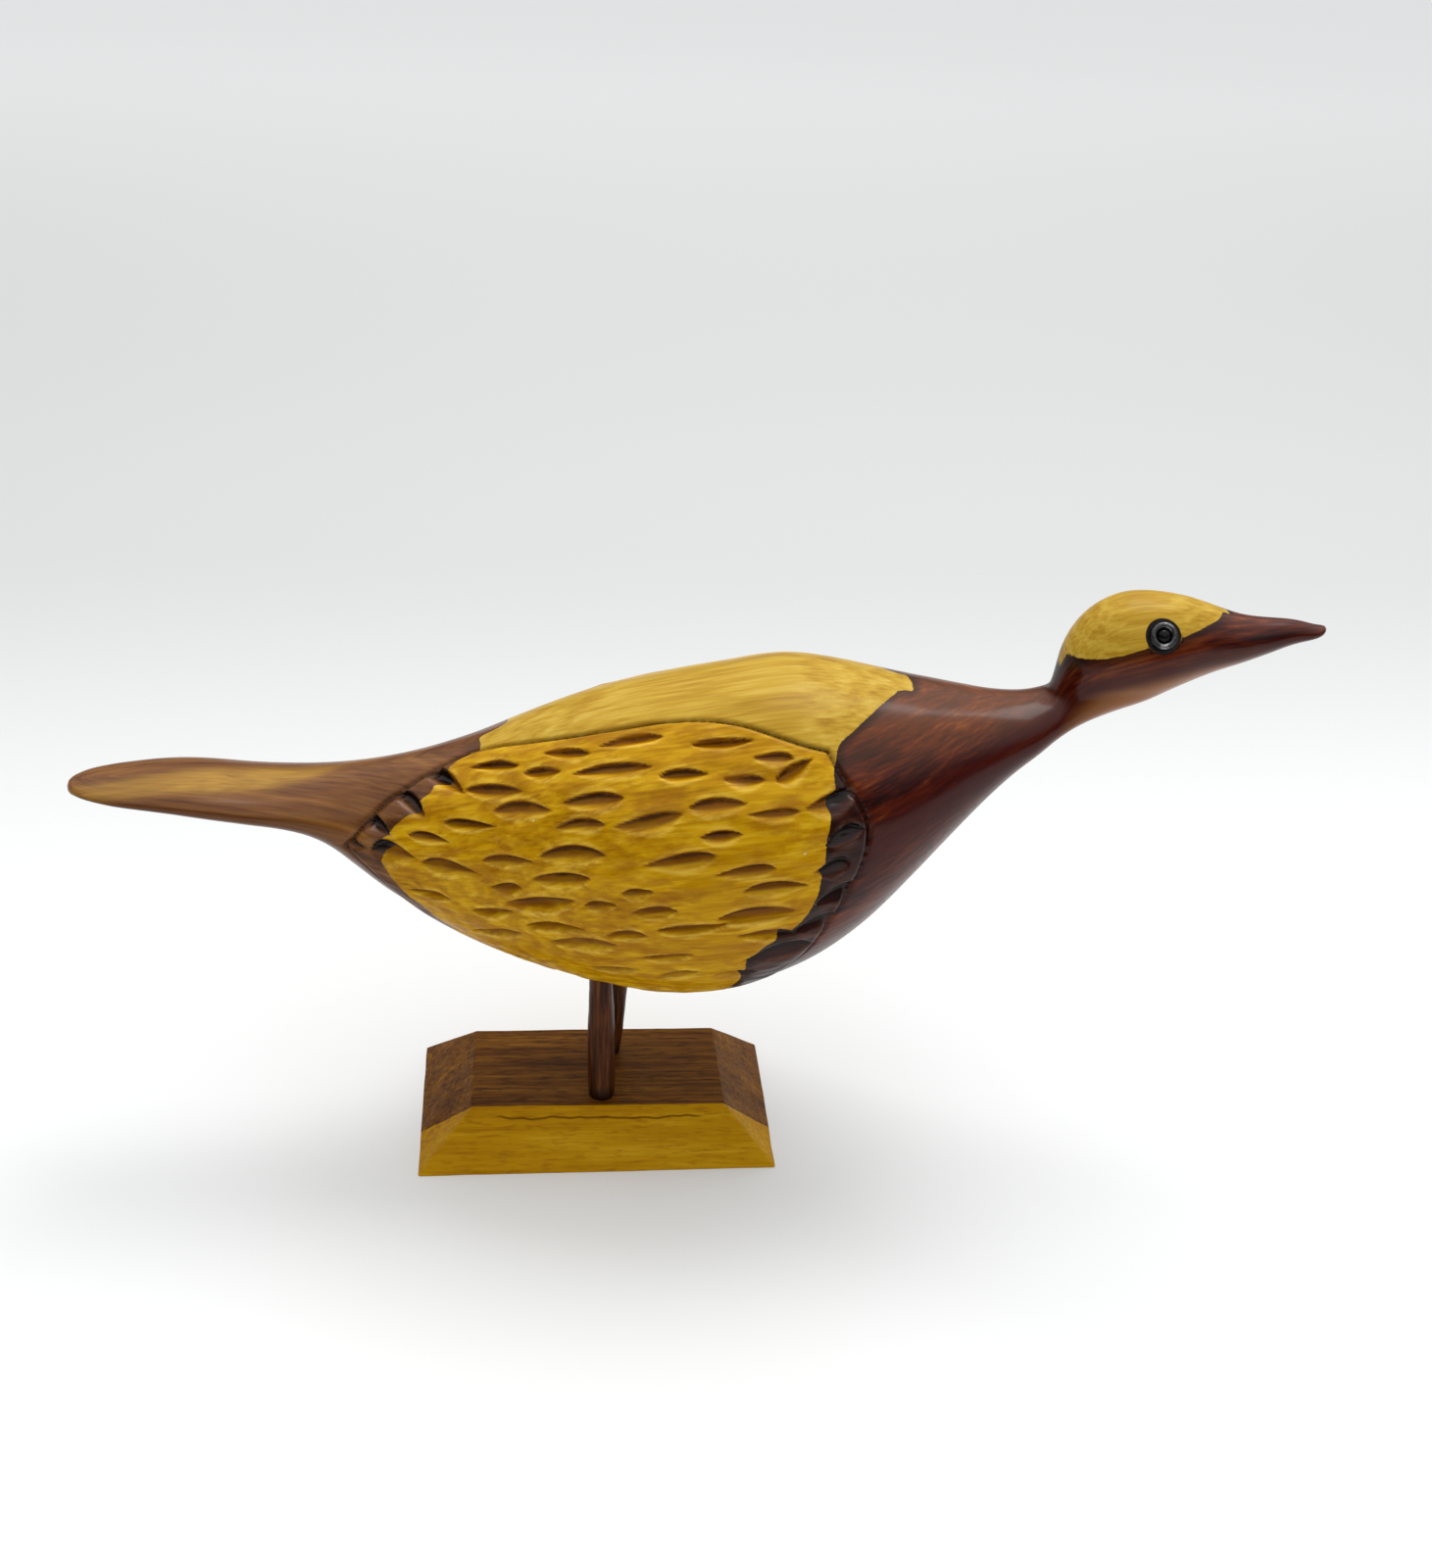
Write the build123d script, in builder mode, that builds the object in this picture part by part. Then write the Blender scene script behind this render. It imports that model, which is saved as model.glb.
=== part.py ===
"""A bird carved from one block of two-tone wood, on a bevelled base with two dowel legs.

Millimetres, +Z up. The bird faces +X and its left side faces +Y. The origin is on the
underside of the base, straight below the middle of the two legs.
"""
import os
from math import cos, radians, sin

from build123d import *

os.makedirs("parts", exist_ok=True)

# Overall sizes of the bird. The lines below are drawn at full size and stretched to these.
bird_length = 293.5      # tail tip to bill tip
trunk_width = 75.0       # across the widest part, without the raised wings
trunk_depth = 81.0       # lowest point of the belly to highest point of the back
head_width = 25.0        # across the cheeks
wing_relief = 0.9        # how far the wings stand out of the flanks

# Base block: a flat board whose four sides slope all the way down.
base_length = 89.7       # along X, at the underside, before its edges are rounded
base_width = 58.0        # along Y, at the underside
base_top_length = 62.0
base_top_width = 34.5
base_height = 12.5
base_edge_radius = 0.4
base_centre = (-2.0, 2.5)    # the legs stand a little in front of the board's middle

# Legs: whittled dowels with a plain tenon at each end, glued into blind holes.
leg_gap = 31.0           # top of the base to the lowest point of the belly
leg_swell_diameter = 6.6
leg_swell_place = 0.35   # share of the visible length from the foot to the thickest place
leg_tenon_diameter = 5.4
leg_stance = 19.8        # between the two legs' centres, across the bird
leg_base_grip = 7.5      # depth of the hole in the base
leg_body_grip = 14.0     # height of the hole's end above the lowest point of the belly
glue_gap = 0.05          # radial room for glue around every round fit
# Each leg: side, foot's place along X, and how far its top leans forward over leg_gap.
legs = {"leg_right": (-1, -1.2, -0.7), "leg_left": (1, 1.1, 2.2)}

# Eyes: a black bead in a metal ring, bedded in a dark seat and held by a pin.
eye_forward = 125.0      # from the legs, along X
eye_height = 94.0        # above the lowest point of the belly
eye_tilt = 30.0          # degrees that the eye looks up from level
seat_diameter = 8.3
seat_depth = 3.0
seat_floor = 1.0         # thickness of the seat under the ring
seat_recess = 0.8        # how far the seat's rim lies below the head's surface
ring_diameter = 6.4
ring_proud = 0.7         # how far the ring stands out of the head's surface
bead_diameter = 3.5
bead_proud = 1.0
pin_diameter = 1.0
pin_in_bead = 1.0
pin_in_wood = 5.0        # length of the pin beyond the seat

# Body lines: distance ahead of the legs, half width, top and bottom above the belly's low point.
trunk_lines = [
    (-126.0, 2.0, 51.5, 48.0),      # tail tip
    (-122.0, 7.0, 52.0, 48.8),
    (-114.0, 11.0, 52.5, 48.0),
    (-98.0, 13.5, 53.5, 46.0),
    (-78.0, 14.0, 52.5, 42.5),
    (-66.0, 14.5, 53.5, 37.5),      # tail root
    (-58.0, 15.5, 55.0, 29.6),
    (-46.0, 18.0, 57.6, 20.2),
    (-30.0, 23.0, 63.0, 11.2),      # rump
    (-10.0, 31.0, 70.9, 4.2),
    (12.0, 36.5, 76.7, 0.0),        # belly
    (34.0, 37.5, 81.0, 2.0),        # back
    (54.0, 33.5, 80.5, 12.4),
    (72.0, 25.5, 77.0, 31.0),       # breast
]
neck_lines = [
    (88.0, 16.5, 74.3, 49.4),
    (102.0, 10.5, 75.0, 62.4),      # below the nape
    (116.0, 9.5, 85.0, 70.7),
    (132.0, 9.0, 90.5, 78.6),       # inside the head
]
head_lines = [
    (104.0, 3.0, 83.5, 71.5),       # nape
    (106.5, 7.0, 89.5, 72.0),
    (111.0, 10.5, 95.5, 73.0),
    (118.0, 12.5, 99.5, 73.5),      # crown
    (127.0, 12.5, 100.0, 75.6),
    (137.0, 10.0, 98.0, 80.1),
    (146.0, 7.5, 95.0, 83.2),       # root of the bill
    (154.0, 5.0, 94.0, 86.0),
    (161.0, 3.5, 93.5, 88.5),
    (167.5, 1.0, 92.5, 91.0),       # bill tip
]
# Wing outline seen from the side: distance ahead of the legs, height above the belly's low point.
wing_top_edge = [(-61.5, 42.0), (-51.0, 52.5), (-29.5, 62.5), (3.0, 72.0), (26.0, 75.0), (47.0, 71.5)]
wing_low_edge = [(47.0, 71.5), (56.5, 55.0), (50.0, 34.5), (38.0, 14.0), (15.0, 5.0),
                 (-12.0, 8.5), (-40.0, 20.0), (-61.5, 42.0)]

belly_height = base_height + leg_gap
length_stretch = bird_length / (head_lines[-1][0] - trunk_lines[0][0])
depth_stretch = trunk_depth / max(top for _, _, top, _ in trunk_lines)
trunk_stretch = trunk_width / (2 * max(half for _, half, _, _ in trunk_lines))
head_stretch = head_width / (2 * max(half for _, half, _, _ in head_lines))


def along(line_x):
    """Place along X of a distance on the lines."""
    return line_x * length_stretch


def height(line_z):
    """Height above the floor of a height on the lines."""
    return belly_height + line_z * depth_stretch


def oval(half_width, half_height, sides=16):
    """Points of an ellipse, starting at the bird's left side."""
    turns = [radians(360 * i / sides) for i in range(sides)]
    return [(half_width * cos(turn), half_height * sin(turn)) for turn in turns]


def sections(lines, width_stretch, swell=0.0):
    """One oval section across the bird for each line."""
    ovals = []
    for line_x, half, top, bottom in lines:
        middle = (height(top) + height(bottom)) / 2
        half_height = (height(top) - height(bottom)) / 2
        across = Plane(origin=(along(line_x), 0, middle), x_dir=(0, 1, 0), z_dir=(1, 0, 0))
        with BuildSketch(across) as section:
            with BuildLine():
                Spline(oval(half * width_stretch + swell, half_height + swell), periodic=True)
            make_face()
        ovals.append(section.sketch)
    return ovals


def leg_plane(side, foot_x, lean):
    """Plane across a leg at the bottom of its hole in the base, looking up the leg."""
    way_up = Vector(lean, 0, leg_gap)
    foot = Vector(foot_x, side * leg_stance / 2, base_height)
    start = foot - way_up * (leg_base_grip / leg_gap)
    return Plane(origin=start, x_dir=(0, 1, 0), z_dir=way_up)


def leg_length(lean):
    """Length of a leg from the end of one hole to the end of the other."""
    return Vector(lean, 0, leg_gap).length * (leg_base_grip + leg_gap + leg_body_grip) / leg_gap


def eye_plane(head, side):
    """Plane on the head's surface at an eye, looking out along the eye's axis."""
    start = Vector(along(eye_forward), 0, height(eye_height))
    chord = head.intersect(Edge.make_line(start, start + Vector(0, side * trunk_width, 0)))
    surface = max(chord.vertices(), key=lambda vertex: abs(vertex.Y))
    outward = Vector(0, side * cos(radians(eye_tilt)), sin(radians(eye_tilt)))
    return Plane(origin=Vector(surface), x_dir=(1, 0, 0), z_dir=outward)


with BuildPart() as wings:
    loft(sections(trunk_lines[5:], trunk_stretch, wing_relief))
    with BuildSketch(Plane.XZ):
        with BuildLine():
            Spline([(along(x), height(z)) for x, z in wing_top_edge])
            Spline([(along(x), height(z)) for x, z in wing_low_edge])
        make_face()
    extrude(amount=trunk_width, both=True, mode=Mode.INTERSECT)

with BuildPart() as body:
    loft(sections(trunk_lines + neck_lines, trunk_stretch))
    loft(sections(head_lines, head_stretch))
    add(wings.part)
    eye_planes = {side: eye_plane(body.part, side) for side in (-1, 1)}
    for side, foot_x, lean in legs.values():
        with BuildSketch(leg_plane(side, foot_x, lean)):
            Circle(leg_tenon_diameter / 2 + glue_gap)
        extrude(amount=leg_length(lean), mode=Mode.SUBTRACT)
    for plane in eye_planes.values():
        with BuildSketch(plane.offset(-seat_depth)):
            Circle(seat_diameter / 2 + glue_gap)
        extrude(amount=seat_depth + seat_diameter, mode=Mode.SUBTRACT)
        with BuildSketch(plane.offset(-seat_depth)):
            Circle(pin_diameter / 2 + glue_gap)
        extrude(amount=-pin_in_wood, mode=Mode.SUBTRACT)
body.part.label = "body"
export_step(body.part, "parts/body.step")

with BuildPart() as base_block:
    with BuildSketch(Plane.XY):
        with Locations(base_centre):
            Rectangle(base_length, base_width)
    with BuildSketch(Plane.XY.offset(base_height)):
        with Locations(base_centre):
            Rectangle(base_top_length, base_top_width)
    loft()
    fillet(base_block.edges(), base_edge_radius)
    for side, foot_x, lean in legs.values():
        with BuildSketch(leg_plane(side, foot_x, lean)):
            Circle(leg_tenon_diameter / 2 + glue_gap)
        extrude(amount=leg_length(lean), mode=Mode.SUBTRACT)
base_block.part.label = "base_block"
export_step(base_block.part, "parts/base_block.step")

for name, (side, foot_x, lean) in legs.items():
    tenon = leg_tenon_diameter / 2
    swell = leg_swell_diameter / 2
    shank = Vector(lean, 0, leg_gap).length      # visible length, along the leg
    foot = leg_base_grip * shank / leg_gap
    across = leg_plane(side, foot_x, lean)
    lengthwise = Plane(origin=across.origin, x_dir=across.x_dir, z_dir=across.x_dir.cross(across.z_dir))
    with BuildPart() as leg:
        with BuildSketch(lengthwise):
            with BuildLine():
                Polyline((0, 0), (tenon, 0), (tenon, foot))
                Spline((tenon, foot), (swell, foot + leg_swell_place * shank), (tenon, foot + shank))
                Polyline((tenon, foot + shank), (tenon, leg_length(lean)), (0, leg_length(lean)), (0, 0))
            make_face()
        revolve(axis=Axis(across.origin, across.z_dir))
    leg.part.label = name
    export_step(leg.part, f"parts/{name}.step")

for side_name, side in (("right", -1), ("left", 1)):
    surface = eye_planes[side]
    socket_floor = surface.offset(-seat_depth)
    ring_floor = socket_floor.offset(seat_floor)

    with BuildPart() as seat:
        with BuildSketch(socket_floor):
            Circle(seat_diameter / 2)
        extrude(amount=seat_depth - seat_recess)
        with BuildSketch(ring_floor):
            Circle(ring_diameter / 2 + glue_gap)
        extrude(amount=seat_depth, mode=Mode.SUBTRACT)
        with BuildSketch(socket_floor):
            Circle(pin_diameter / 2 + glue_gap)
        extrude(amount=seat_floor, mode=Mode.SUBTRACT)
    seat.part.label = f"eye_seat_{side_name}"
    export_step(seat.part, f"parts/eye_seat_{side_name}.step")

    with BuildPart() as ring:
        with BuildSketch(ring_floor):
            Circle(ring_diameter / 2)
            Circle(bead_diameter / 2 + glue_gap, mode=Mode.SUBTRACT)
        extrude(amount=seat_depth - seat_floor + ring_proud)
        ring_wall = (ring_diameter - bead_diameter) / 2 - glue_gap
        front_edges = ring.edges().filter_by(GeomType.CIRCLE).sort_by(Axis(surface.origin, surface.z_dir))[-2:]
        fillet(front_edges, 0.45 * ring_wall)
    ring.part.label = f"eye_ring_{side_name}"
    export_step(ring.part, f"parts/eye_ring_{side_name}.step")

    with BuildPart() as bead:
        with BuildSketch(ring_floor):
            Circle(bead_diameter / 2)
        extrude(amount=seat_depth - seat_floor + bead_proud)
        front_edge = bead.edges().filter_by(GeomType.CIRCLE).sort_by(Axis(surface.origin, surface.z_dir))[-1]
        fillet(front_edge, 0.45 * bead_diameter)
        with BuildSketch(ring_floor):
            Circle(pin_diameter / 2 + glue_gap)
        extrude(amount=pin_in_bead, mode=Mode.SUBTRACT)
    bead.part.label = f"eye_bead_{side_name}"
    export_step(bead.part, f"parts/eye_bead_{side_name}.step")

    with BuildPart() as pin:
        with BuildSketch(socket_floor.offset(-pin_in_wood)):
            Circle(pin_diameter / 2)
        extrude(amount=pin_in_wood + seat_floor + pin_in_bead)
    pin.part.label = f"eye_pin_{side_name}"
    export_step(pin.part, f"parts/eye_pin_{side_name}.step")
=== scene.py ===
"""The looks of a bird carved from two-tone wood, standing on a bevelled base.

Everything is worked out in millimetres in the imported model's frame and written to the meshes in
metres. The bird faces +X and its right side faces -Y. Heights in the tables below are above the
low point of the bird's belly.
"""
import math

import bmesh
import bpy
import numpy as np
from mathutils import Matrix, Vector, noise
from mathutils.bvhtree import BVHTree


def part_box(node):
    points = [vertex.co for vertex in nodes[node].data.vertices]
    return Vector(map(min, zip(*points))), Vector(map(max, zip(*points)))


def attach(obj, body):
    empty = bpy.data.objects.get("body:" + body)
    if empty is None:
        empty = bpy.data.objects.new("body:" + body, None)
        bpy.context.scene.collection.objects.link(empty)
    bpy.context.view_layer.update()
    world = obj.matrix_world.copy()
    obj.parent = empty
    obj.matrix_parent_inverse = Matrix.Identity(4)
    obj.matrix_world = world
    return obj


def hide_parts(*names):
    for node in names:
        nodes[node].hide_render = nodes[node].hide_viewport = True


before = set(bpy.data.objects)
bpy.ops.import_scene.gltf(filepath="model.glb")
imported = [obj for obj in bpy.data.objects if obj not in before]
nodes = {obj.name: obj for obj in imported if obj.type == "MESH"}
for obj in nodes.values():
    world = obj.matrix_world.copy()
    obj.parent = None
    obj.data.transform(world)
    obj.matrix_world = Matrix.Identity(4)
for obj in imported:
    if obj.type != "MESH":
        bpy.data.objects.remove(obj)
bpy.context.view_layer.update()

SIDES = ("right", "left")
MM = 0.001  # a millimetre, in metres
SEED = 7
SEED_STEP = (17.3, 5.1, 9.7)  # how far apart two seeds lie in the noise
TINY = 1e-12
FAR_OUTSIDE = -99.0  # a distance inside an outline that stands for far away from it

# -------- sizes, in millimetres
WING_RELIEF = 0.9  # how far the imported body's wings stand out of its flanks
WING_BAND = 1.3  # strip along the wing's outline where the flank's surface is filled in
WING_SPAN = (-66, 62)  # stretch along X that holds both wings
GROOVE_DEPTH = 1.0  # cut around the wing
GROOVE_HALF_WIDTH = 0.75
GROOVE_OFFSET = 0.15  # the groove's middle lies this far outside the wing's outline
LIP_WIDTH = 1.3  # from the wing's outline to its full height
LEFT_DROP = 3.5  # the left wing sits this much lower than the right one at its front,
LEFT_REAR_DROP = 6  # and this much more at its rear
LEVEL = 0.01  # heights closer than this count as the same
TENON_SAMPLE = 1  # length of a leg's top end on which the tenon's radius is read
SOCKET_MARGIN = 0.8  # strip around a socket where the body's surface is filled in
SOCKET_PLAY = 0.05  # a hole is this much larger in radius than what sits in it
SOCKET_OVERSHOOT = 0.05  # share of its length by which a leg's cutter sticks out at the foot
SEAT_OVERSHOOT = 8  # length by which an eye seat's cutter sticks out of the head
STATIONS = 203  # cells along the body
TURNS = 176  # cells around the body
WING_CUTS = 2  # extra cuts of each cell on the wings
FINE_MARGIN = 1.6  # the extra cuts reach this far out of the wing's outline
BASE_EDGE_WIDTH = 1.3  # of the base's rounded edges
BASE_TOP_GROWTH = 0.225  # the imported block's rounding hides this much of its top
BASE_WOBBLE = (0.22, 0.22, 0.12)  # unevenness of the base's faces
BASE_CUTS = 31  # cuts of each of the base's edges
LEG_SIDES, LEG_RINGS = 40, 120
LEG_FACET = 0.10  # depth of the knife's facets on a leg
RIGHT_STRAY = 0.3  # how far gouges stray from their tables, which describe the right
LEFT_STRAY = 1.4  # wing; the photo does not show the left one

# Wing outline seen from the side: place along X, height above the belly's low point.
WING_TOP_EDGE = [(-61.5, 42.0), (-51.0, 52.5), (-29.5, 62.5), (3.0, 72.0), (26.0, 75.0), (47.0, 71.5)]
WING_LOW_EDGE = [(47.0, 71.5), (56.5, 55.0), (50.0, 34.5), (38.0, 14.0), (15.0, 5.0),
                 (-12.0, 8.5), (-40.0, 20.0), (-61.5, 42.0)]

# Gouge cuts on a wing, in rows from the top: place along X, height and length.
GOUGE_ROWS = [
    [(-27, 61, 12), (-12, 66, 11), (3, 70, 16), (24, 72, 15), (34, 70, 10)],
    [(-16, 62, 9), (-1, 65, 19), (15, 66, 12), (28, 66, 10)],
    [(-27, 57, 14), (-5, 59, 15), (22, 61, 14), (34, 60, 13)],
    [(-33, 50, 13), (-21, 55, 14), (7, 57, 17), (23, 55, 10)],
    [(-42, 46, 10), (-24, 44, 13), (-8, 54, 12), (14, 49, 18), (28, 48, 15)],
    [(-37, 40, 14), (-10, 48, 16), (5, 41, 8), (36, 44, 16)],
    [(-25, 37, 8), (-12, 42, 14), (9, 37, 11), (31, 37, 19)],
    [(-43, 32, 11), (-16, 35, 17), (-3, 37, 8), (17, 33, 17)],
    [(-28, 30, 10), (-13, 29, 14), (3, 30, 10), (34, 31, 15)],
    [(-27, 23, 13), (-7, 25, 17), (13, 24, 13)],
    [(-19, 15, 14), (0, 18, 12), (16, 18, 11), (28, 18, 10)],
    [(-8, 11, 13), (9, 10, 13), (23, 11, 12)],
]
# Deeper cuts around the wing's rim: place, height, length and slope (degrees, up to the front).
RIM_CUTS = [(40, 68, 10, 26), (47, 62, 13, 13), (50, 55, 9, 18), (48, 48, 9, 14), (50, 41, 12, 19),
            (47, 33, 14, 15), (37, 25, 16, 14), (-39, 56, 10, -12), (-47, 52, 9, -26),
            (-55, 48, 9, -20), (-50, 42, 11, -7), (-59, 43, 6, -12)]

# Edge of the pale sapwood on the back and flanks, from the back's front end down the flank, along
# the belly and up again to the back's rear end, and then the edge of the cap on the head.
BODY_SAP_EDGE = [(69.5, 78.4), (65, 77.9), (60.5, 77), (54.5, 74.7), (50, 72.4), (48.5, 69), (48.5, 64),
                 (47, 57), (45.7, 46), (44, 38),
                 (38.5, 30.7), (31, 23.4), (28, 11), (20, 3.6), (0, 3.6), (-16, 8.5), (-32, 15.5),
                 (-43, 26), (-49, 33), (-54, 41), (-53.4, 44), (-48, 49), (-43.5, 53), (-40, 56.5),
                 (-36, 59.5), (-33, 61.5), (-31, 63)]
HEAD_SAP_EDGE = [(104.3, 85.6), (106.3, 86.5), (109, 87.4), (115.7, 89.6), (120, 91.2), (124.4, 92.2),
                 (129.2, 93.7), (133, 94.8), (137, 95.8), (140.5, 96.6), (143, 98)]
# Pale streak on top of the tail: place along X, and its two edges across the tail.
TAIL_STREAK = [(-120, -9, -5), (-110, -9.5, -2.5), (-92, -8.5, 2), (-79, -6, 4.4), (-60, 2.5, 3)]
GRAIN_SLOPE = 0.136  # the grain rises towards the head
GRAIN_AXIS_HEIGHT = 33.0  # the trunk's heart, above the belly's low point, at the legs

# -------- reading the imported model


def vertices(node):
    """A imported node's vertices, in millimetres."""
    mesh = nodes[node].data
    co = np.zeros(len(mesh.vertices) * 3)
    mesh.vertices.foreach_get("co", co)
    return co.reshape(-1, 3) / MM


def axis_of(node):
    """Both ends of a long round node's axis, lowest end first."""
    points = vertices(node)
    middle = (points.max(0) + points.min(0)) / 2
    direction = np.linalg.svd(points - points.mean(0), full_matrices=False)[2][0]
    direction *= np.sign(direction[2])
    reach = (points - middle) @ direction
    return middle + direction * reach.min(), middle + direction * reach.max()


def distance_to_line(points, start, end):
    """Distance of points from the endless line through start and end."""
    direction = (end - start) / np.linalg.norm(end - start)
    away = points - start
    return np.linalg.norm(away - (away @ direction)[..., None] * direction, axis=-1)


def base_top():
    """Height of the base's top."""
    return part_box("base_block")[1].z / MM


body_points = vertices("body")
body_low, body_high = body_points.min(0), body_points.max(0)
belly = body_low[2]
leg_axes = {side: axis_of(f"leg_{side}") for side in SIDES}
pin_axes = {side: axis_of(f"eye_pin_{side}") for side in SIDES}
leg_points = vertices("leg_right")
leg_end = leg_points[:, 2] > leg_axes["right"][1][2] - TENON_SAMPLE
tenon_radius = distance_to_line(leg_points, *leg_axes["right"])[leg_end].max()
seat_radius = distance_to_line(vertices("eye_seat_right"), *pin_axes["right"]).max()
pin_radius = distance_to_line(vertices("eye_pin_right"), *pin_axes["right"]).max()

# -------- curves and fields


def curve_through(points, steps=14):
    """A smooth run of points through a few given ones (Catmull-Rom)."""
    p = np.array(points, float)
    p = np.vstack([2 * p[0] - p[1], p, 2 * p[-1] - p[-2]])
    t = np.linspace(0, 1, steps, endpoint=False)[:, None]
    spans = []
    for a, b, c, d in zip(p[:-3], p[1:-2], p[2:-1], p[3:]):
        spans.append(0.5 * (2 * b + (c - a) * t + (2 * a - 5 * b + 4 * c - d) * t ** 2
                            + (3 * b - a - 3 * c + d) * t ** 3))
    return np.vstack(spans + [p[-2:-1]])


def smooth(x, low, high):
    """0 below low, 1 above high, and smooth between."""
    t = np.clip((x - low) / (high - low), 0, 1)
    return t * t * (3 - 2 * t)


def averaged(rows):
    """Every row but the first and last, averaged with the rows beside it."""
    return (rows[:-2] + 2 * rows[1:-1] + rows[2:]) / 4


def signed_distance(points, outline):
    """Distance of flat points from a closed outline, above 0 inside it."""
    start, end = outline, np.roll(outline, -1, axis=0)
    best = np.full(len(points), np.inf)
    inside = np.zeros(len(points), bool)
    for (ax, ay), (bx, by) in zip(start, end):
        dx, dy = bx - ax, by - ay
        length = dx * dx + dy * dy
        if length < TINY:
            continue
        px, py = points[:, 0] - ax, points[:, 1] - ay
        t = np.clip((px * dx + py * dy) / length, 0, 1)
        best = np.minimum(best, (px - t * dx) ** 2 + (py - t * dy) ** 2)
        if by != ay:
            crosses = ((ay > points[:, 1]) != (by > points[:, 1])) & (px < dx * py / dy)
            inside ^= crosses
    return np.where(inside, 1, -1) * np.sqrt(best)


def bumps(points, size, octaves=3, seed=0):
    """Smooth noise between about -1 and 1, with features of the given size."""
    shift = Vector([seed * step for step in SEED_STEP])
    values = [noise.fractal(Vector(p) / size + shift, 0.8, 2.0, octaves, noise_basis="PERLIN_NEW")
              for p in points]
    return np.array(values)


# -------- the body's smooth surface


class BodySurface:
    """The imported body's surface without its sockets and wing steps, as radii on a smooth grid.

    A place on it is (station, turn): station 0..1 from tail to bill, and turn 0..1 around the
    body, starting under the belly and passing the left flank first.
    """

    ROWS, COLUMNS = 170, 120
    TABLE_STEPS = 4000  # steps of the table that turns stations into places
    TIP_INSET = 0.02  # the grid ends this far inside the body's tips
    TAIL_ROUND, BILL_ROUND = 1.6, 1.0  # length over which each tip is rounded off
    TAIL_CROWDING, BILL_CROWDING = 2.5, 2.0  # how much closer stations lie at each tip
    TIP_REACH = 4
    NAPE, NAPE_CROWDING, NAPE_REACH = 105, 1.8, 5
    HEAD_RISE, HEAD_CROWDING = (95, 115), 0.5
    THROAT, THROAT_REACH, THROAT_PASSES = 106, 7, 12  # where the surface is smoothed most
    ABOVE, AROUND, RAY_LENGTH = 300, 90, 400  # rays start clear of the body and cross all of it
    MIDDLE_PASSES, SURFACE_PASSES, FILL_PASSES = 40, 2, 1500
    NORMAL_STEP = 2e-4
    FLANK_TURNS = (0.03, 0.47)  # turns between which a flank's places are looked up
    FLANK_STEPS = 300

    def __init__(self):
        mesh = nodes["body"].data
        faces = [tuple(polygon.vertices) for polygon in mesh.polygons]
        self.tree = BVHTree.FromPolygons([Vector(p) for p in body_points], faces)
        self.start = body_low[0] + self.TIP_INSET
        self.end = body_high[0] - self.TIP_INSET
        self._place_stations()
        xs = self.x_at(np.linspace(0, 1, self.ROWS))
        angles = np.arange(self.COLUMNS) / self.COLUMNS * 2 * math.pi - math.pi / 2
        self.middles = self._middle_heights(xs)
        radii, unknown = self._without_details(*self._cast_rays(xs, angles))
        self.radii = self._soften(self._fill(radii, unknown), xs, angles)
        self.around = self._arc_lengths(angles)

    def _place_stations(self):
        """Stations lie closer together at both tips, at the nape and on the head."""
        x = np.linspace(self.start, self.end, self.TABLE_STEPS)
        density = (1 + self.TAIL_CROWDING * np.exp(-((x - self.start) / self.TIP_REACH) ** 2)
                   + self.BILL_CROWDING * np.exp(-((x - self.end) / self.TIP_REACH) ** 2)
                   + self.NAPE_CROWDING * np.exp(-((x - self.NAPE) / self.NAPE_REACH) ** 2)
                   + self.HEAD_CROWDING * smooth(x, *self.HEAD_RISE))
        total = np.concatenate([[0], np.cumsum((density[1:] + density[:-1]) / 2)])
        self.x_table, self.u_table = x, total / total[-1]

    def x_at(self, u):
        """Place along X of stations."""
        return np.interp(u, self.u_table, self.x_table)

    def _hit(self, start, direction):
        """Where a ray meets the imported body."""
        return self.tree.ray_cast(Vector(start), Vector(direction), self.RAY_LENGTH)[0]

    def _middle_heights(self, xs):
        """Heights of the line from tail to bill that radii are measured from."""
        middles = []
        for x in xs:
            top = self._hit((x, 0, self.ABOVE), (0, 0, -1))
            bottom = self._hit((x, 0, 0), (0, 0, 1))
            middles.append((top.z + bottom.z) / 2)
        middles = np.array(middles)
        for _ in range(self.MIDDLE_PASSES):
            middles[1:-1] = averaged(middles)
        return middles

    def _cast_rays(self, xs, angles):
        """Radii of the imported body's surface on the grid, and the places where they were read."""
        radii = np.zeros((self.ROWS, self.COLUMNS))
        hits = np.zeros((self.ROWS, self.COLUMNS, 3))
        for i, x in enumerate(xs):
            centre = Vector((x, 0, self.middles[i]))
            for j, angle in enumerate(angles):
                out = Vector((0, math.cos(angle), math.sin(angle)))
                hit = self._hit(centre + out * self.AROUND, -out)
                hits[i, j] = hit
                radii[i, j] = (hit - centre).length
        return radii, hits

    @staticmethod
    def _without_details(radii, hits):
        """Radii without the wings' relief, and which of them lie by a wing's edge or a socket."""
        side_view = np.stack([hits[..., 0].ravel(), hits[..., 2].ravel() - belly], -1)
        outline = np.vstack([curve_through(WING_TOP_EDGE), curve_through(WING_LOW_EDGE)])
        inside = signed_distance(side_view, outline).reshape(radii.shape)
        unknown = np.abs(inside) < WING_BAND
        for low, high in leg_axes.values():
            near = distance_to_line(hits, low, high) < tenon_radius + SOCKET_MARGIN
            unknown |= near & (hits[..., 2] < high[2] + 1)
        for low, high in pin_axes.values():
            near = distance_to_line(hits, low, high) < seat_radius + SOCKET_MARGIN
            unknown |= near & (hits[..., 1] * high[1] > 0)
        return radii - WING_RELIEF * (inside > 0), unknown

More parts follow.
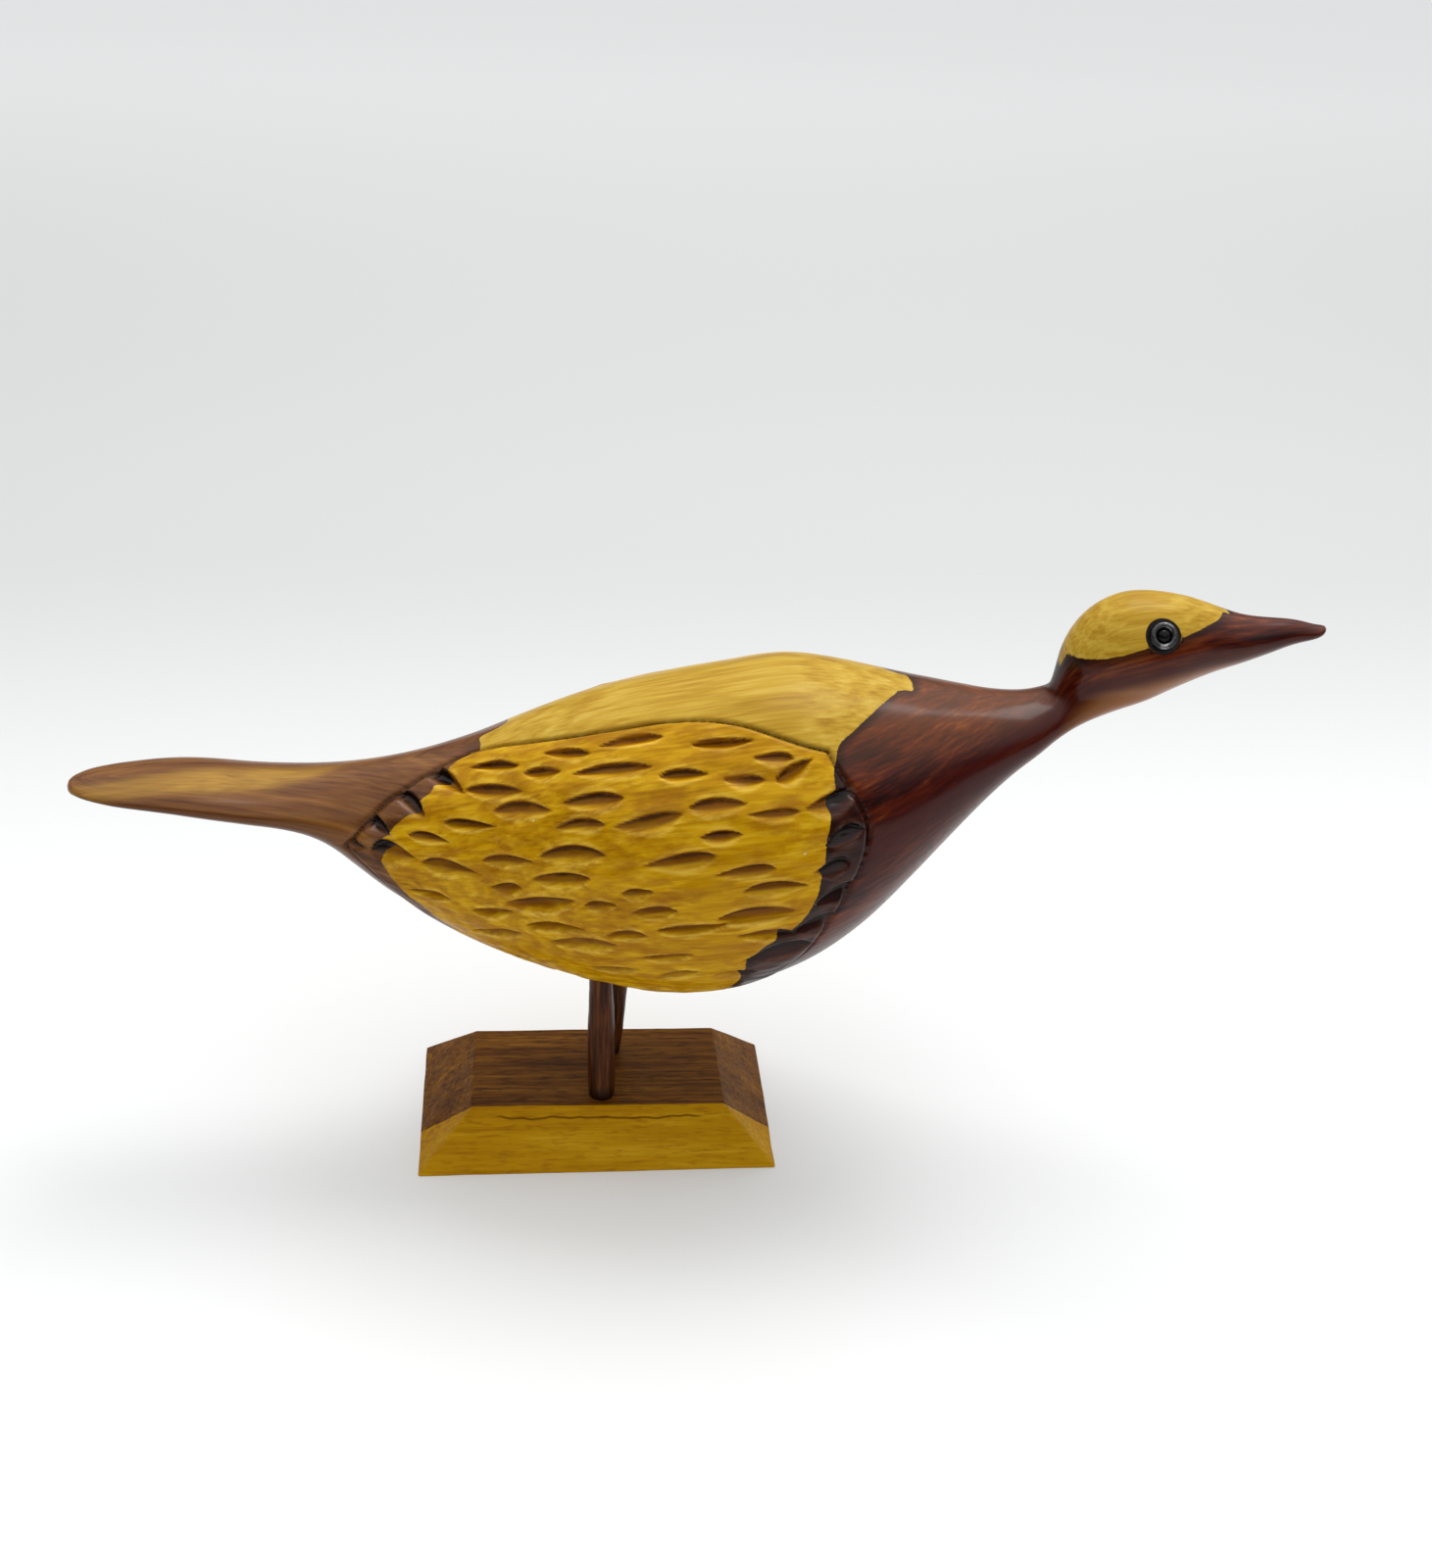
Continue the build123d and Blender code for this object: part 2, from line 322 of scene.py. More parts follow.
    def _soften(self, radii, xs, angles):
        """Radii smoothed a little all over, and more under the throat."""
        for _ in range(self.SURFACE_PASSES):
            radii = (np.roll(radii, 1, 1) + 2 * radii + np.roll(radii, -1, 1)) / 4
            radii[1:-1] = averaged(radii)
        low_side = smooth(-np.sin(angles), -0.35, 0.2)
        at_throat = np.exp(-((xs[1:-1] - self.THROAT) / self.THROAT_REACH) ** 2)[:, None] * low_side
        for _ in range(self.THROAT_PASSES):
            radii[1:-1] += (averaged(radii) - radii[1:-1]) * at_throat
        return radii

    def _arc_lengths(self, angles):
        """Length around each section at every turn, from the left flank's middle."""
        ys = self.radii * np.cos(angles)
        zs = self.middles[:, None] + self.radii * np.sin(angles)
        across = np.diff(ys, axis=1, append=ys[:, :1])
        up = np.diff(zs, axis=1, append=zs[:, :1])
        around = np.concatenate([np.zeros((self.ROWS, 1)), np.cumsum(np.hypot(across, up), 1)], 1)
        return around - around[:, self.COLUMNS // 4][:, None]

    def _fill(self, radii, unknown):
        """Unknown radii are relaxed until they join their neighbours smoothly."""
        filled = radii.copy()
        columns = np.arange(self.COLUMNS)
        for row, gaps in zip(filled, unknown):
            row[gaps] = np.interp(columns[gaps], columns[~gaps], row[~gaps])
        for _ in range(self.FILL_PASSES):
            mean = (np.roll(filled, 1, 1) + np.roll(filled, -1, 1)) / 4
            mean[1:-1] += (filled[:-2] + filled[2:]) / 4
            mean[[0, -1]] *= 2
            filled[unknown] = mean[unknown]
        return filled

    @staticmethod
    def _cubic(t):
        """Catmull-Rom weights of four values in a row, a share t past the second."""
        return (((-0.5 * t + 1) * t - 0.5) * t, (1.5 * t - 2.5) * t * t + 1,
                ((-1.5 * t + 2) * t + 0.5) * t, (0.5 * t - 0.5) * t * t)

    def _read(self, grid, u, v):
        """Cubic reading of a grid that wraps around in v."""
        rows, columns = self.ROWS, self.COLUMNS
        a, b = u * (rows - 1), np.mod(v, 1) * columns
        i, j = np.minimum(a.astype(int), rows - 2), b.astype(int)
        total = 0
        for wa, di in zip(self._cubic(a - i), (-1, 0, 1, 2)):
            row = np.clip(i + di, 0, rows - 1)
            for wb, dj in zip(self._cubic(b - j), (-1, 0, 1, 2)):
                total = total + wa * wb * grid[row, np.mod(j + dj, columns)]
        return total

    def _read_line(self, line, u):
        """Cubic reading of one value per station."""
        a = u * (self.ROWS - 1)
        i = np.minimum(a.astype(int), self.ROWS - 2)
        return sum(w * line[np.clip(i + d, 0, self.ROWS - 1)]
                   for w, d in zip(self._cubic(a - i), (-1, 0, 1, 2)))

    def points(self, u, v):
        """Places in space of stations u and turns v."""
        x = self.x_at(u)
        radius = self._read(self.radii, u, v)
        for gap, length in ((x - self.start, self.TAIL_ROUND), (self.end - x, self.BILL_ROUND)):
            share = np.clip(gap / length, 0, 1)
            radius = radius * np.sqrt(1 - (1 - share) ** 2)
        angle = v * 2 * math.pi - math.pi / 2
        z = self._read_line(self.middles, u) + radius * np.sin(angle)
        return np.stack([x, radius * np.cos(angle), z], -1)

    def normals(self, u, v):
        """Outward directions of the surface."""
        step = self.NORMAL_STEP
        along = self.points(np.clip(u + step, 0, 1), v) - self.points(np.clip(u - step, 0, 1), v)
        around = self.points(u, v + step) - self.points(u, v - step)
        n = np.cross(around, along)
        size = np.linalg.norm(n, axis=-1)
        ends = np.where(u[:, None] < 0.5, [-1.0, 0, 0], [1.0, 0, 0])
        return np.where(size[:, None] > 1e-9, n / np.maximum(size, TINY)[:, None], ends)

    def arc(self, u, v):
        """Length around the section, up from the flank's middle, for either flank."""
        rows, columns = self.ROWS, self.COLUMNS
        v = np.mod(v, 1)
        v = np.where(v > 0.5, 1 - v, v)
        a, b = u * (rows - 1), v * columns
        i, j = np.minimum(a.astype(int), rows - 2), np.minimum(b.astype(int), columns - 1)
        s, t = a - i, b - j
        g = self.around
        return ((1 - s) * ((1 - t) * g[i, j] + t * g[i, j + 1])
                + s * ((1 - t) * g[i + 1, j] + t * g[i + 1, j + 1]))

    def flank_place(self, x, height):
        """(x, arc) of a spot on the flank that is given by its side view."""
        u = np.interp(x, self.x_table, self.u_table)
        v = np.linspace(*self.FLANK_TURNS, self.FLANK_STEPS)
        p = self.points(np.full(self.FLANK_STEPS, u), v)
        turn = np.interp(height + belly, p[:, 2], v)
        return x, float(self.arc(np.array([u]), np.array([turn]))[0])


surface = BodySurface()

# -------- the carved wings


def wing_outline():
    """The wing's outline, laid flat as place along X and arc up the flank."""
    edge = np.vstack([curve_through(WING_TOP_EDGE)[:-1], curve_through(WING_LOW_EDGE)[:-1]])
    return np.array([surface.flank_place(x, h) for x, h in edge])


def sap_distance(flat):
    """How far places lie inside the pale sapwood, below 0 in the dark heartwood."""
    depth = np.full(len(flat), FAR_OUTSIDE)
    for edge in (BODY_SAP_EDGE, HEAD_SAP_EDGE):
        line = np.array([surface.flank_place(x, h) for x, h in curve_through(edge, 6)])
        over_the_back = [(line[-1, 0], 90.0), (line[0, 0], 90.0)]
        depth = np.maximum(depth, signed_distance(flat, np.vstack([line, over_the_back])))
    return depth


def wing_cuts(side):
    """Every gouge of one wing: both ends laid flat, half width and depth."""
    draw = np.random.default_rng(SEED + side)
    shift = RIGHT_STRAY if side < 0 else LEFT_STRAY
    cuts = []
    for row in GOUGE_ROWS:
        for x, height, length in row:
            # cuts rise to the front, less so toward both ends of the wing
            slope = 12 - 0.28 * max(x - 5, 0) - 1.2 * max(-28 - x, 0) + draw.normal(0, 2)
            cuts.append((x, height, length, slope, draw.uniform(0.8, 1.2), draw.uniform(1.1, 1.6)))
    for x, height, length, slope in RIM_CUTS:
        cuts.append((x, height, length, slope, draw.uniform(1.5, 1.9), draw.uniform(1.8, 2.2)))
    ends = []
    for x, height, length, slope, plump, deep in cuts:
        x, height = x + draw.normal(0, shift), height + draw.normal(0, shift / 2)
        run = length / 2 * math.cos(math.radians(slope))
        rise = length / 2 * math.sin(math.radians(slope))
        back = surface.flank_place(x - run, height - rise)
        front = surface.flank_place(x + run, height + rise)
        half_width = plump * (0.85 + 0.075 * length)
        bend, skew = draw.uniform(-0.25, 0.45), draw.uniform(-0.35, 0.35)
        ends.append((np.array(back), np.array(front), half_width, deep, bend, skew))
    return ends


def carve(flat, side):
    """Depth of all gouges at flat places on one wing, their darkening, and the painted highlights
    along the rims around them.

    The darkening is 0.5 on a gouge's floor, where the wood's staining gathers, and 1 under its upper
    edge, which is painted shade. Along a gouge, along runs from -1 to 1. Across it, scaled runs from -1
    at its gentle lower edge to 1 at its steep upper edge.
    """
    depth, stain_and_shade, lip_highlights = np.zeros(len(flat)), np.zeros(len(flat)), np.zeros(len(flat))
    for back, front, half_width, deep, bend, skew in wing_cuts(side):
        centre = (back + front) / 2
        half_length = np.linalg.norm(front - back) / 2
        c, s = (front - back) / (2 * half_length)
        near = np.abs(flat - centre).max(1) < half_length + 3
        away = flat[near] - centre
        along = (away[:, 0] * c + away[:, 1] * s) / half_length
        across = (-away[:, 0] * s + away[:, 1] * c) / half_width
        across = across + bend * (along ** 2 - 0.25)
        along = along + skew * (1 - along ** 2)
        within = np.clip(1 - along ** 2, 0, 1)
        scaled = across / np.maximum(within ** 0.9, 0.08)
        steep_side = smooth(0.85 - scaled, 0.0, 0.3)
        gentle_side = smooth(scaled, -1.2, 0.2)
        shape = within ** 0.6 * steep_side * gentle_side
        depth[near] = np.maximum(depth[near], deep * shape)
        floor = smooth(0.9 - scaled, 0.0, 0.2) * smooth(scaled, -0.8, 0.1) * smooth(within, 0, 0.3)
        edge = smooth(0.95 - scaled, 0.0, 0.15) * smooth(scaled, 0.0, 0.6) * smooth(within, 0.05, 0.5)
        # 0.5 on the floor, where the wood's staining gathers; up to 1 under the steep upper edge, painted
        # shade
        stain_and_shade[near] = np.maximum(stain_and_shade[near], 0.5 * floor + 0.5 * edge * min(deep / 1.4, 1))
        # painted highlights on the rims just outside each gouge's upper and lower edges, kept off its
        # darkening
        upper_lip_highlight = smooth(scaled, 0.9, 1.1) * smooth(-scaled, -1.7, -1.2)
        lower_lip_highlight = smooth(scaled, -1.6, -1.1) * smooth(-scaled, 0.7, 1.0)
        lip_highlights[near] = np.maximum(lip_highlights[near], (0.6 * upper_lip_highlight + lower_lip_highlight) * smooth(within, 0.1, 0.5))
    return depth, stain_and_shade, lip_highlights * smooth(0.3 - stain_and_shade, 0, 0.3)


def body_sheet():
    """The body's cells as a flat sheet of (station, turn), finer on the wings."""
    outline = wing_outline()
    bm = bmesh.new()
    us = np.linspace(0, 1, STATIONS + 1)
    vs = np.linspace(0, 1, TURNS + 1)
    grid = [[bm.verts.new((u, v, 0)) for v in vs] for u in us]
    mid_u = np.repeat((us[1:] + us[:-1]) / 2, TURNS)
    mid_v = np.tile((vs[1:] + vs[:-1]) / 2, STATIONS)
    flat = np.stack([surface.x_at(mid_u), surface.arc(mid_u, mid_v)], -1)
    on_wing = signed_distance(flat, outline) > -FINE_MARGIN
    fine = []
    for i in range(STATIONS):
        for j in range(TURNS):
            face = bm.faces.new((grid[i][j], grid[i + 1][j], grid[i + 1][j + 1], grid[i][j + 1]))
            if on_wing[i * TURNS + j]:
                fine.append(face)
    edges = list({edge for face in fine for edge in face.edges})
    bmesh.ops.subdivide_edges(bm, edges=edges, cuts=WING_CUTS, use_grid_fill=True)
    bm.verts.ensure_lookup_table()
    uv = np.array([v.co[:2] for v in bm.verts])
    return bm, uv, outline


def carve_wings(base, flat, on_left, outline):
    """How far places lie inside a wing's outline, and the gouges' depth, staining, painted shade and
    highlights.
    """
    drop = (LEFT_DROP + LEFT_REAR_DROP * smooth(-base[:, 0], 0, 28)) * on_left
    lowered = flat + np.stack([np.zeros(len(flat)), drop], -1)
    candidate = (base[:, 0] > WING_SPAN[0]) & (base[:, 0] < WING_SPAN[1])
    inside = np.full(len(flat), FAR_OUTSIDE)
    inside[candidate] = signed_distance(lowered[candidate], outline)
    cuts, stain_and_shade, lip_highlights = np.zeros(len(flat)), np.zeros(len(flat)), np.zeros(len(flat))
    for side, on_side in ((-1, ~on_left), (1, on_left)):
        mask = candidate & on_side & (inside > -1)
        cuts[mask], stain_and_shade[mask], lip_highlights[mask] = carve(lowered[mask], side)
    clear = smooth(inside, -0.2, 0.6)
    return inside, cuts * clear, stain_and_shade * clear, lip_highlights * clear


def wood_marks(base, out, flat, inside, cuts, groove_and_shade, high):
    """What the carved wood's material reads at every place, apart from the gouges' own marks."""
    x, y, height = base[:, 0], base[:, 1], base[:, 2] - belly
    uneven = bumps(base, 7, 2, seed=4)
    on_head = smooth(x, 98, 110)
    stations, lows, highs = zip(*TAIL_STREAK)
    low_edge, high_edge = np.interp(x, stations, lows), np.interp(x, stations, highs)
    streak = smooth(y, low_edge - 2.5, low_edge + 2.5) * smooth(-y, -high_edge - 3, 3 - high_edge)
    # painted dark reflection: a dark red band along the flank's middle, where the lacquer mirrors the
    # dark room; it is narrower and lower on the head
    band_middle, band_width = 2 - 4 * on_head, 7.5 - 4.5 * on_head
    off_band = flat[:, 1] - band_middle + 4 * uneven * (1 - 0.8 * on_head)
    # the sapwood's edge is ragged, draws back in cuts, and stays off the left wing's upper rear
    ragged = (0.5 - 0.35 * on_head) * bumps(base * (0.5, 1, 1), 5, 2, seed=3)
    left_corner = 16 * smooth(y, 0, 6) * smooth(-x, 20, 30) * smooth(height, 50, 56)
    # painted shade in the groove around the wing is a little stronger high up and toward the front, and
    # patchy
    groove_shade_strength = np.maximum(high, smooth(x, 30, 42)) * smooth(uneven, -0.5, 0.2)
    # painted light: the trunk's upward faces are lightened toward brown, where the overhead light falls
    painted_top_light = 0.30 * smooth(out[:, 2], 0.45, 0.95) * (1 - on_head)
    return {
        "sap": sap_distance(flat) + ragged - 1.1 * cuts - left_corner,
        # painted shade along the bottom of the groove around the wing
        "groove_and_shade": groove_and_shade ** 1.5 * (0.75 + 0.25 * groove_shade_strength),
        "wing": smooth(inside, -0.5, 1.0),
        "streak": streak * smooth(out[:, 2], 0.0, 0.3) * smooth(-x, 60, 68),
        # painted dark reflection along the flank's middle, ahead of the wing
        "painted_dark_reflection": np.exp(-(off_band / band_width) ** 2) * smooth(x, 44, 62),
        # brown on the head's lower side, and painted top light on the trunk's upward faces
        "brown": np.maximum(painted_top_light, smooth(x, 90, 120) * smooth(1.5 * uneven - flat[:, 1], -1, 6)),
        # painted shade on downward-facing surfaces; only the tail's colour uses it
        "under": smooth(-out[:, 2], 0.2, 0.8),
    }


def build_body():
    """The carved body: smooth surface, wings, grooves and gouges."""
    bm, uv, outline = body_sheet()
    u, v = uv[:, 0], uv[:, 1]
    base = surface.points(u, v)
    out = surface.normals(u, v)
    flat = np.stack([base[:, 0], surface.arc(u, v)], -1)
    inside, cuts, stain_and_shade, lip_highlights = carve_wings(base, flat, np.mod(v, 1) <= 0.5, outline)
    # the groove's profile, 1 at its bottom: it cuts the groove, and later sets the painted shade in it
    groove_and_shade = np.clip(1 - np.abs(inside + GROOVE_OFFSET) / GROOVE_HALF_WIDTH, 0, 1)
    high = smooth(base[:, 2] - belly, 58, 68)
    relief = WING_RELIEF * smooth(inside, 0.0, LIP_WIDTH) * (1 - 0.6 * high)
    hand = 0.12 * bumps(base, 14, 2, seed=1)
    tooling = 0.36 * bumps(base * (0.45, 1, 1), 4.5, 2, seed=2) * smooth(inside, 0.5, 3)
    height = relief - GROOVE_DEPTH * groove_and_shade - cuts + hand + tooling
    off_tail = smooth(base[:, 0], surface.start, surface.start + 4)
    off_bill = smooth(-base[:, 0], -surface.end, 6 - surface.end)
    points = base + out * (height * (off_tail * off_bill))[:, None]
    for vert, p in zip(bm.verts, points):
        vert.co = Vector(p) * MM
    flow = bm.verts.layers.float_vector.new("flow")
    for vert, (along, around), across in zip(bm.verts, flat, base[:, 1]):
        vert[flow] = (along, around, 0.4 * across)
    marks = wood_marks(base, out, flat, inside, cuts, groove_and_shade, high)
    for name, numbers in {**marks, "stain_and_shade": stain_and_shade, "lip_highlight": lip_highlights}.items():
        layer = bm.verts.layers.float.new(name)
        for vert, number in zip(bm.verts, numbers):
            vert[layer] = number
    bmesh.ops.remove_doubles(bm, verts=bm.verts, dist=1e-7)
    bmesh.ops.recalc_face_normals(bm, faces=bm.faces)
    return add_object("carved_body", bm)


# -------- making objects


def add_object(name, bm, sharp_angle=None):
    """A Blender object from a bmesh in metres."""
    mesh = bpy.data.meshes.new(name)
    bm.to_mesh(mesh)
    bm.free()
    mesh.shade_smooth()
    if sharp_angle is not None:
        mesh.set_sharp_from_angle(angle=math.radians(sharp_angle))
    piece = bpy.data.objects.new(name, mesh)
    bpy.context.scene.collection.objects.link(piece)
    return piece


def rod(name, start, end, radius, sides=48):
    """A plain cylinder between two points, for cutting holes."""
    start, end = np.array(start, float), np.array(end, float)
    axis = Vector(end - start)
    turn = axis.to_track_quat("Z", "Y").to_matrix().to_4x4()
    bm = bmesh.new()
    bmesh.ops.create_cone(bm, cap_ends=True, segments=sides, radius1=radius * MM, radius2=radius * MM,
                          depth=axis.length * MM,
                          matrix=Matrix.Translation(Vector((start + end) / 2) * MM) @ turn)
    return add_object(name, bm)


def cut_holes(piece, cutters):
    """Cut each cutter's shape out of the piece, then drop the cutters."""
    for cutter in cutters:
        modifier = piece.modifiers.new("hole", "BOOLEAN")
        modifier.operation = "DIFFERENCE"
        modifier.solver = "EXACT"
        modifier.object = cutter
    apply_modifiers(piece)
    for cutter in cutters:
        bpy.data.objects.remove(cutter)


def apply_modifiers(piece):
    """Turn a piece's modifiers into its mesh."""
    bpy.context.view_layer.update()
    graph = bpy.context.evaluated_depsgraph_get()
    mesh = bpy.data.meshes.new_from_object(piece.evaluated_get(graph), preserve_all_data_layers=True,
                                           depsgraph=graph)
    piece.modifiers.clear()
    old = piece.data
    piece.data = mesh
    bpy.data.meshes.remove(old)


def base_corners(low, high, top_low, top_high):
    """The block's corners without its rounding, by whether each is on top, at +X and at +Y."""
    corners = {}
    for is_top, z, a, b in ((False, low[2], low, high), (True, high[2], top_low, top_high)):
        grow = BASE_TOP_GROWTH if is_top else 0
        for sx in (0, 1):
            for sy in (0, 1):
                x = (a[0] - grow, b[0] + grow)[sx]
                y = (a[1] - grow, b[1] + grow)[sy]
                corners[is_top, sx, sy] = np.array([x, y, z])
    # three corners were cut a little out of square
    corners[False, 1, 0] += (-0.4, 1.4, 0)
    corners[True, 0, 1] += (0.5, -0.3, 0)
    corners[True, 1, 1] += (-0.3, 0.2, 0)
    return corners


def build_base():
    """The bevelled block, with softened and slightly uneven edges."""
    points = vertices("base_block")
    low, high = points.min(0), points.max(0)
    top = points[points[:, 2] > high[2] - LEVEL]
    bm = bmesh.new()
    corners = base_corners(low, high, top.min(0), top.max(0))
    v = {key: bm.verts.new(tuple(p)) for key, p in corners.items()}
    order = [(0, 0), (1, 0), (1, 1), (0, 1)]
    bm.faces.new([v[True, sx, sy] for sx, sy in order])
    bm.faces.new([v[False, sx, sy] for sx, sy in reversed(order)])
    for (ax, ay), (bx, by) in zip(order, order[1:] + order[:1]):
        bm.faces.new([v[False, ax, ay], v[False, bx, by], v[True, bx, by], v[True, ax, ay]])
    bmesh.ops.subdivide_edges(bm, edges=bm.edges, cuts=BASE_CUTS, use_grid_fill=True)
    bm.verts.ensure_lookup_table()
    co = np.array([vert.co for vert in bm.verts])
    wobble = np.stack([bumps(co, 16, 2, seed=s) for s in (11, 12, 13)], -1) * BASE_WOBBLE
    wobble[co[:, 2] < low[2] + 1e-6, 2] = 0
    for vert, p in zip(bm.verts, co + wobble):
        vert.co = Vector(np.clip(p, low - LEVEL, high + LEVEL)) * MM
    bmesh.ops.recalc_face_normals(bm, faces=bm.faces)
    piece = add_object("bevelled_base", bm)
    bevel = piece.modifiers.new("round", "BEVEL")
    bevel.width = BASE_EDGE_WIDTH * MM
    bevel.segments = 3
    bevel.limit_method = "ANGLE"
    bevel.angle_limit = math.radians(28)
    apply_modifiers(piece)
    cut_holes(piece, [rod(f"hole_{side}", a, b, tenon_radius + SOCKET_PLAY)
                      for side, (a, b) in leg_axes.items()])
    piece.data.shade_smooth()
    piece.data.set_sharp_from_angle(angle=math.radians(40))
    return piece


def build_leg(side):
    """A whittled dowel: a tenon at each end and a swelling shank with knife facets."""
    start, end = leg_axes[side]
    length = np.linalg.norm(end - start)
    direction = (end - start) / length
    foot = (base_top() - start[2]) / direction[2]
    knee = (belly - start[2]) / direction[2]
    swell = distance_to_line(vertices(f"leg_{side}"), start, end).max()
    seed = 21 if side == "right" else 22
    across = np.cross(direction, (1, 0, 0))
    across /= np.linalg.norm(across)
    forward = np.cross(across, direction)
    bm = bmesh.new()
    rows = []
    angles = np.arange(LEG_SIDES) / LEG_SIDES * 2 * math.pi
    for s in np.concatenate([[0], np.linspace(0.4, length - 0.4, LEG_RINGS), [length]]):
        share = np.clip((s - foot) / (knee - foot), 0, 1)  # 0 at the foot, 1 at the belly
        bulge = math.sin(math.pi * share ** 0.62) ** 0.55 if 0 < share < 1 else 0
        radius = tenon_radius + (swell - tenon_radius) * bulge
        if s in (0, length):
            radius -= 0.3  # both ends are chamfered
        shown = float(smooth(share, 0, 0.06) * smooth(1 - share, 0, 0.06))
        ring = []
        for angle in angles:
            flat_cut = LEG_FACET * abs(math.sin(3.5 * angle + 0.02 * s + seed)) * shown
            out = math.cos(angle) * forward + math.sin(angle) * across
            p = start + direction * s + out * (radius - flat_cut)
            p = p + out * 0.12 * shown * noise.noise(Vector(p) / 5 + Vector((seed, 0, 0)))
            ring.append(bm.verts.new(Vector(p) * MM))
        rows.append(ring)
    for a, b in zip(rows[:-1], rows[1:]):
        for k in range(LEG_SIDES):
            after = (k + 1) % LEG_SIDES
            bm.faces.new((a[k], a[after], b[after], b[k]))
    bm.faces.new(list(reversed(rows[0])))
    bm.faces.new(rows[-1])
    bmesh.ops.recalc_face_normals(bm, faces=bm.faces)
    return add_object(f"whittled_leg_{side}", bm, sharp_angle=50)


# -------- materials

# Colours from the darkest fibres to the palest, each with its place on a scale of 0 to 1.
SAP_BACK = [(0.30, (0.34, 0.165, 0.008)), (0.44, (0.48, 0.27, 0.020)),
            (0.56, (0.58, 0.36, 0.040)), (0.70, (0.68, 0.47, 0.09))]
SAP_WING = [(0.30, (0.30, 0.120, 0.001)), (0.44, (0.48, 0.225, 0.001)),
            (0.56, (0.62, 0.325, 0.003)), (0.70, (0.74, 0.46, 0.020))]
HEART_FRONT = [(0.34, (0.006, 0.001, 0.001)), (0.45, (0.038, 0.003, 0.001)),
               (0.56, (0.105, 0.014, 0.002)), (0.68, (0.23, 0.056, 0.008))]
HEART_TAIL = [(0.32, (0.060, 0.017, 0.005)), (0.44, (0.140, 0.047, 0.011)),
              (0.56, (0.210, 0.080, 0.018)), (0.70, (0.31, 0.14, 0.035))]
STREAK_SAP = [(0.35, (0.30, 0.14, 0.012)), (0.6, (0.50, 0.27, 0.03))]
BASE_DARK = [(0.32, (0.030, 0.008, 0.001)), (0.44, (0.110, 0.036, 0.004)),
             (0.56, (0.200, 0.076, 0.008)), (0.70, (0.31, 0.14, 0.020))]
BASE_PALE = [(0.30, (0.30, 0.120, 0.001)), (0.44, (0.44, 0.205, 0.001)),
             (0.56, (0.53, 0.27, 0.003)), (0.70, (0.62, 0.36, 0.015))]
LEG_DARK = [(0.30, (0.016, 0.003, 0.001)), (0.46, (0.055, 0.013, 0.002)),
            (0.60, (0.120, 0.034, 0.005)), (0.76, (0.22, 0.085, 0.015))]
FILLER = [(0.3, (0.003, 0.002, 0.002)), (0.7, (0.014, 0.007, 0.005))]
SILVER = [(0.38, (0.020, 0.018, 0.020)), (0.54, (0.060, 0.056, 0.060)), (0.66, (0.36, 0.35, 0.36))]
BEAD = [(0.3, (0.002, 0.002, 0.002)), (0.7, (0.008, 0.006, 0.006))]
STEEL = [(0.3, (0.30, 0.30, 0.30)), (0.7, (0.52, 0.52, 0.52))]
# Colours laid over the carved wood, on the heartwood and on the sapwood: the gouges' stained floors,
# painted highlights on their rims, painted shade under their upper edges, and worn patches.
GOUGE_FLOOR = ((0.010, 0.003, 0.002), (0.21, 0.066, 0.001))
GOUGE_LIP_HIGHLIGHT = ((0.13, 0.05, 0.03), (0.90, 0.60, 0.09))
GOUGE_SHADE = ((0.004, 0.002, 0.001), (0.045, 0.012, 0.001))
WORN_PATCH = ((0.012, 0.003, 0.002), (0.33, 0.115, 0.002))

RING_SPACING = 2.6  # of the growth rings
RING_WANDER = 9.0  # how far the bands push the growth rings about
FRONT_LEAN = 0.55  # how far the base's pale front comes forward per length downward
SPLIT_DEPTH = 4.6  # lowest place of the base's drying split, below the base's top
SPLIT_WANDER = 5.0  # how far above that the split can rise
SPLIT_MIDDLE = -2.0  # along X, with the place where it is fully open and where it ends
SPLIT_OPEN, SPLIT_END = 23.0, 27.0
FOOT_DARK, FOOT_CLEAR = 1.0, 5.5  # heights above the base between which a leg's foot lightens


